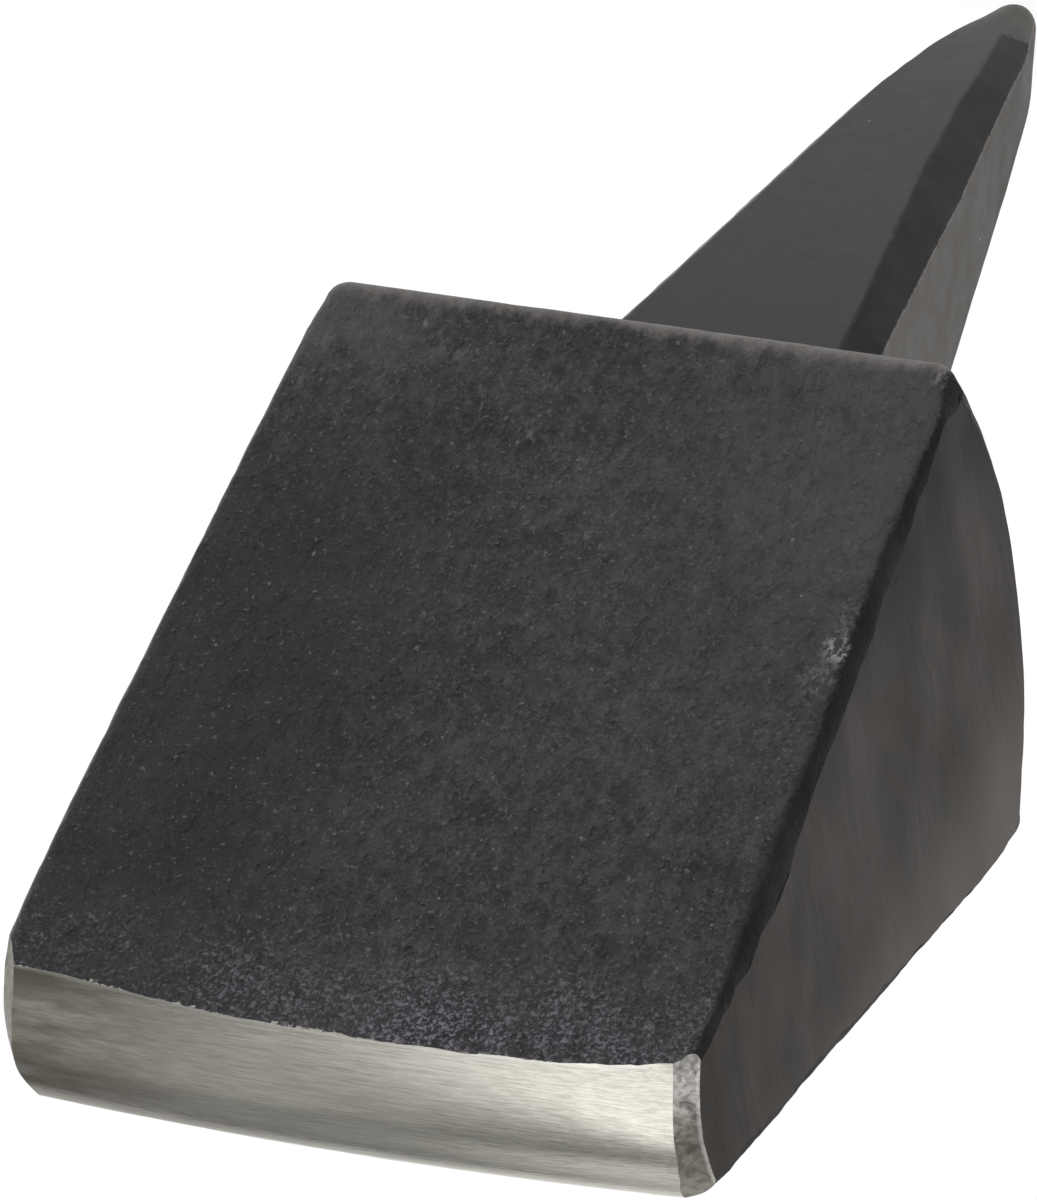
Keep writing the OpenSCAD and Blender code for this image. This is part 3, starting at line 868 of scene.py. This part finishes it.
def groundToolSteel(name):
    # bare hardened steel, ground along its length: pale, slightly warm, with fine parallel lines
    material, tree = newMaterial(name)
    coords = addNode(tree, "ShaderNodeTexCoord")
    place = addNode(tree, "ShaderNodeMapping", {"Scale": [1 / mm] * 3}, {"Vector": coords.outputs["Object"]})
    axes = addNode(tree, "ShaderNodeSeparateXYZ", None, {0: place})
    fromFace = addNode(tree, "ShaderNodeAttribute", {"attribute_name": "fromFace"}).outputs["Fac"]
    noises = []
    for size, detail, rough, stretch in (
        (ground["lineSize"], 5, 0.7, (0.035, 1, 1)), (ground["streakSize"], 4, 0.65, (0.05, 1, 1)),
        (1.6, 4, 0.6, (0.2, 1, 1)),
    ):
        drawnOut = addNode(tree, "ShaderNodeMapping", {"Scale": stretch}, {"Vector": place})
        noises.append(addNode(
            tree, "ShaderNodeTexNoise", {"Scale": 1 / size, "Detail": detail, "Roughness": rough}, {"Vector": drawnOut},
        ).outputs["Fac"])
    lines, streaks, smears = noises
    rgba = {"data_type": "RGBA"}
    share = addNode(tree, "ShaderNodeMapRange", {**soft, 1: 0.32, 2: 0.66}, {0: lines})
    tone = addNode(
        tree, "ShaderNodeMix", {**rgba, 6: srgb(ground["low"]), 7: srgb(ground["high"])}, {0: share},
    ).outputs[2]
    deep = addNode(tree, "ShaderNodeMapRange", {**soft, 1: 0.56, 2: 0.72, 4: 0.5}, {0: streaks})
    tone = addNode(tree, "ShaderNodeMix", {**rgba, 7: srgb(ground["deep"])}, {0: deep, 6: tone}).outputs[2]
    # old oil and painted shade towards the left end
    leftEnd = addNode(tree, "ShaderNodeMapRange", {**soft, 1: 4.0, 2: 21.0, 3: 0.05, 4: 0.9}, {0: axes.outputs[0]})
    oilAndShade = addNode(tree, "ShaderNodeMapRange", {**soft, 1: 0.3, 2: 0.6, 3: 0.3}, {0: smears})
    oilAndShade = addNode(tree, "ShaderNodeMath", {"operation": "MULTIPLY"}, {0: oilAndShade, 1: leftEnd})
    tone = addNode(tree, "ShaderNodeMix", {**rgba, 7: srgb(ground["oilAndPaintedShade"])}, {0: oilAndShade, 6: tone}).outputs[2]
    paintedShadeRear = addNode(tree, "ShaderNodeMapRange", {**soft, 1: 2.4, 2: 4.2, 4: 0.75}, {0: axes.outputs[1]})
    farther = addNode(tree, "ShaderNodeMapRange", {**soft, 1: -18.0, 2: 12.0, 3: 0.15}, {0: axes.outputs[0]})
    paintedShadeRear = addNode(tree, "ShaderNodeMath", {"operation": "MULTIPLY"}, {0: paintedShadeRear, 1: farther})
    tone = addNode(tree, "ShaderNodeMix", {**rgba, 7: srgb(ground["rear"])}, {0: paintedShadeRear, 6: tone}).outputs[2]
    # painted highlight along the edge
    rim = addNode(tree, "ShaderNodeMapRange", {**soft, 1: -0.12, 2: -0.03, 4: 0.4}, {0: fromFace})
    tone = addNode(tree, "ShaderNodeMix", {**rgba, 7: srgb(ground["edge"])}, {0: rim, 6: tone}).outputs[2]
    gloss = addNode(tree, "ShaderNodeMapRange", {**soft, 1: 0.3, 2: 0.7, 3: 0.10, 4: 0.13}, {0: streaks})
    normal = None
    for height, depth, strength in ((streaks, 0.015, 0.5), (lines, 0.01, 0.8)):
        normal = addNode(
            tree, "ShaderNodeBump", {"Distance": depth * mm, "Strength": strength}, {"Height": height, "Normal": normal},
        )
    shader = addNode(
        tree, "ShaderNodeBsdfPrincipled", {"Metallic": 1.0},
        {"Base Color": tone, "Roughness": gloss, "Normal": normal},
    )
    addNode(tree, "ShaderNodeOutputMaterial", None, {"Surface": shader})
    return material


filed = {
    "front": ("#b0ada8", "#e0ddd8"),
    "rear": ("#79756c", "#928e84"),
    "left": "#7b776f",       # painted shade at the other end
    "dent": "#66635e",
    "burr": "#d8d5cf",       # painted highlight along the flank edge
    "markSize": 0.42,
    "turn": 35,
}


def filedToolSteel(name):
    # the bevel, broken by hand with a file: coarse slanting marks, with painted shade towards the rear
    material, tree = newMaterial(name)
    coords = addNode(tree, "ShaderNodeTexCoord")
    place = addNode(tree, "ShaderNodeMapping", {"Scale": [1 / mm] * 3}, {"Vector": coords.outputs["Object"]})
    axes = addNode(tree, "ShaderNodeSeparateXYZ", None, {0: place})
    slanting = addNode(
        tree, "ShaderNodeMapping",
        {"vector_type": "TEXTURE", "Scale": (1, 1, 4), "Rotation": (math.radians(filed["turn"]), 0, 0)},
        {"Vector": place},
    )
    marks = addNode(
        tree, "ShaderNodeTexNoise", {"Scale": 1 / filed["markSize"], "Detail": 2, "Distortion": 0.4},
        {"Vector": slanting},
    ).outputs["Fac"]
    dents = addNode(
        tree, "ShaderNodeTexNoise", {"Scale": 1.0, "Detail": 2, "Distortion": 0.3}, {"Vector": place},
    ).outputs["Fac"]
    rgba = {"data_type": "RGBA"}
    share = addNode(tree, "ShaderNodeMapRange", {**soft, 1: 0.36, 2: 0.64}, {0: marks})
    ends = []
    for low, high in (filed["front"], filed["rear"]):
        ends.append(addNode(tree, "ShaderNodeMix", {**rgba, 6: srgb(low), 7: srgb(high)}, {0: share}).outputs[2])
    # painted shade towards the rear
    towardsRear = addNode(tree, "ShaderNodeMapRange", {**soft, 1: -4.6, 2: 0.6}, {0: axes.outputs[1]})
    tone = addNode(tree, "ShaderNodeMix", rgba, {0: towardsRear, 6: ends[0], 7: ends[1]}).outputs[2]
    dented = addNode(tree, "ShaderNodeMapRange", {**soft, 1: 0.56, 2: 0.7, 4: 0.6}, {0: dents})
    # painted highlight along the flank edge
    burr = addNode(tree, "ShaderNodeMapRange", {**soft, 1: -22.3, 2: -22.44, 4: 0.7}, {0: axes.outputs[0]})
    # painted shade at the other end
    otherEnd = addNode(tree, "ShaderNodeMapRange", {1: -5.0, 2: 5.0}, {0: axes.outputs[0]})
    for factor, colour in ((dented, "dent"), (burr, "burr"), (otherEnd, "left")):
        tone = addNode(tree, "ShaderNodeMix", {**rgba, 7: srgb(filed[colour])}, {0: factor, 6: tone}).outputs[2]
    gloss = addNode(tree, "ShaderNodeMapRange", {1: 0.3, 2: 0.7, 3: 0.34, 4: 0.46}, {0: marks})
    normal = None
    for height, depth, strength in ((dents, 0.08, 0.8), (marks, 0.06, 0.9)):
        normal = addNode(
            tree, "ShaderNodeBump", {"Distance": depth * mm, "Strength": strength}, {"Height": height, "Normal": normal},
        )
    shader = addNode(
        tree, "ShaderNodeBsdfPrincipled", {"Metallic": 1.0},
        {"Base Color": tone, "Roughness": gloss, "Normal": normal},
    )
    addNode(tree, "ShaderNodeOutputMaterial", None, {"Surface": shader})
    return material


print("materials")
forgedBlack = lacqueredForging("blackLacquerOnForgedSteel")
bareSteel = groundToolSteel("groundToolSteel")
blackEnds = blackenedGround("blackenedGroundSteel")
filedSteel = filedToolSteel("filedToolSteel")
tangSide = blackenedDrawn("blackenedDrawnSteelSide", drawn["side"])
tangFlat = blackenedDrawn("blackenedDrawnSteelFlat", drawn["flat"])
tangCorner = blackenedDrawn("blackenedDrawnSteelCorner", drawn["corner"])

for material in (forgedBlack, bareSteel, blackEnds, filedSteel):
    headObj.data.materials.append(material)
    crownObj.data.materials.append(material)
for material in (tangSide, tangFlat, tangCorner):
    tangObj.data.materials.append(material)

for obj, node, slot in (
    (crownObj, "striking_face", "ground_steel"),
    (headObj, "wedge_head", "black_forged_steel"),
    (tangObj, "tang", "black_tang_steel"),
):
    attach(obj, "root")
    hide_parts(node)


# Floor, light and camera

studio = {
    "floorSize": 12.0,
    "floorHeight": -54.5 * mm,
    "floorWhite": 0.88,          # what the camera and reflections see of it by itself
    "worldLevel": 0.3,
    "overhead": ((-0.07, 0.36, 0.98), 0.69, 2.5, 1.05),       # place, width, length, radiance
    "front": ((0.45, -1.1, 0.30), 0.8, 0.8, 2.7),
    "side": ((-0.885, 0.08, 0.32), 0.5, 0.5, 1.1),
    "fill": ((0.72, 0.33, 0.8), 1.15, 1.6, 0.16),
    "rear": ((-0.1, 1.1, 0.4), 0.98, 0.6, 0.5),
}

bpy.ops.mesh.primitive_plane_add(size=studio["floorSize"], location=(0, 0, studio["floorHeight"]))
floor = bpy.context.object
floor.name = "floor"
floorMaterial, tree = newMaterial("paleFloor")
paths = addNode(tree, "ShaderNodeLightPath")
seen = paths.outputs["Is Camera Ray"]
for ray in ("Is Glossy Ray", "Is Transmission Ray"):
    seen = addNode(tree, "ShaderNodeMath", {"operation": "MAXIMUM"}, {0: seen, 1: paths.outputs[ray]})
paper = addNode(tree, "ShaderNodeBsdfDiffuse", {"Color": srgb("#ececec")})
white = addNode(tree, "ShaderNodeEmission", {"Color": (1, 1, 1, 1), "Strength": studio["floorWhite"]})
shade = addNode(tree, "ShaderNodeBsdfDiffuse", {"Color": (0.22, 0.22, 0.22, 1)})     # keeps the shadow
lit = addNode(tree, "ShaderNodeAddShader", None, {0: white, 1: shade})
shown = addNode(tree, "ShaderNodeMixShader", None, {0: seen, 1: paper, 2: lit})
addNode(tree, "ShaderNodeOutputMaterial", None, {"Surface": shown})
floor.data.materials.append(floorMaterial)

world = bpy.data.worlds.new("softStudio")
world.use_nodes = True
bpy.context.scene.world = world
world.node_tree.nodes["Background"].inputs[0].default_value = (1, 1, 1, 1)
world.node_tree.nodes["Background"].inputs[1].default_value = studio["worldLevel"]


def softbox(name, place, width, length, radiance):
    # aimed at the anvil; an area lamp's radiance is its power over pi and its area
    bpy.ops.object.light_add(type="AREA", location=place)
    lamp = bpy.context.object
    lamp.name = name
    lamp.rotation_euler = Vector(place).to_track_quat("Z", "Y").to_euler()
    lamp.data.shape = "RECTANGLE"
    lamp.data.size = width
    lamp.data.size_y = length
    lamp.data.energy = radiance * math.pi * width * length
    return lamp


softbox("overheadSoftbox", *studio["overhead"])
softbox("frontSoftbox", *studio["front"])
softbox("sideSoftbox", *studio["side"])
softbox("fillSoftbox", *studio["fill"])
softbox("rearSoftbox", *studio["rear"])

view = {
    "azimuth": -32.074,
    "elevation": 45.573,
    "roll": -147.608,
    "distance": 994.26 * mm,
    "aim": Vector((-6.055, -22.166, 37.238)) * mm,
    "lens": 510,
    "sensor": 36,
}
azimuth, elevation = math.radians(view["azimuth"]), math.radians(view["elevation"])
back = Vector((
    math.sin(azimuth) * math.cos(elevation),
    -math.cos(azimuth) * math.cos(elevation),
    math.sin(elevation),
))
bpy.ops.object.camera_add(location=view["aim"] + back * view["distance"])
camera = bpy.context.object
level = back.to_track_quat("Z", "Y").to_matrix()
camera.rotation_euler = (level @ Matrix.Rotation(math.radians(view["roll"]), 3, "Z")).to_euler()
camera.data.lens = view["lens"]
camera.data.sensor_width = view["sensor"]
camera.data.clip_start = 0.01
bpy.context.scene.camera = camera

bpy.context.scene.view_settings.view_transform = "Standard"
